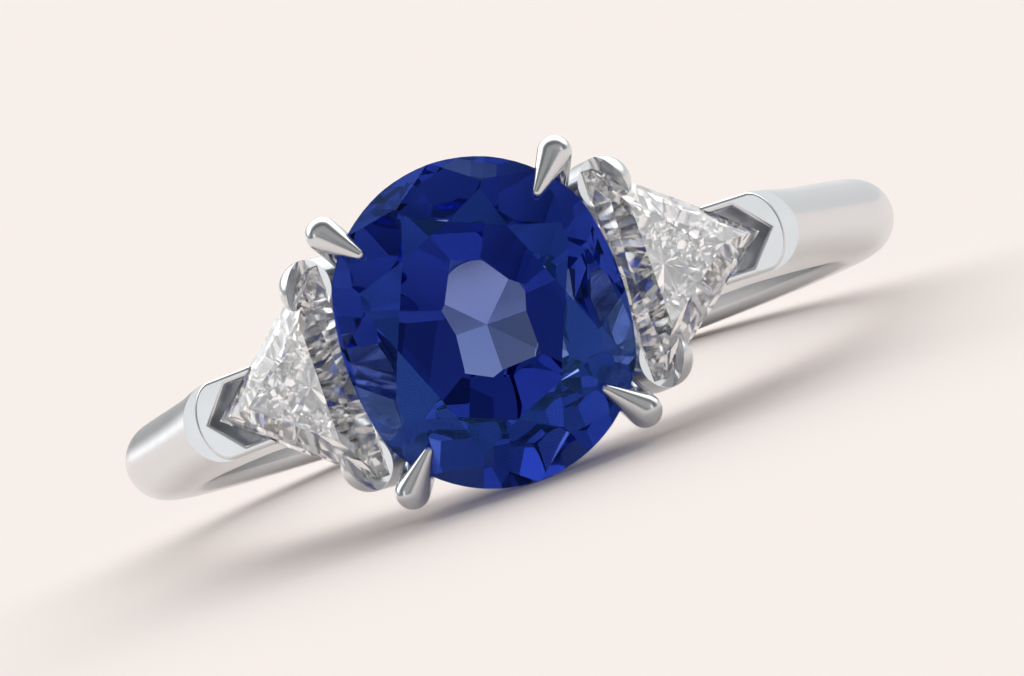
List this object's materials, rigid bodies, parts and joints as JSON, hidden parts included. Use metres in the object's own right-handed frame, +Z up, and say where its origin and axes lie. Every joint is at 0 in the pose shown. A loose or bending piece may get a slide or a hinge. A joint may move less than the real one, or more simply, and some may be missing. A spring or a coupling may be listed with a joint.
{
  "type": "three stone ring",
  "caption": "Finger ring with a cushion cut sapphire held by teardrop claws between triangular diamonds, on a slim polished band, lying on its side.",
  "frame": {"origin": "the surface the ring lies on, under the middle of its bounding box", "axes": "+X across the finger hole along the row of stones, +Y from the stones to the back of the band, +Z up"},
  "size_m": [0.0204, 0.024, 0.0079],
  "materials": {
    "platinum": "hand polished to a mirror",
    "sapphire": "polished facets",
    "diamond": "polished facets"
  },
  "bodies": {
    "root": {"mount": "platinum", "centre_stone": "sapphire", "side_stone_left": "diamond", "side_stone_right": "diamond"}
  },
  "joints": []
}
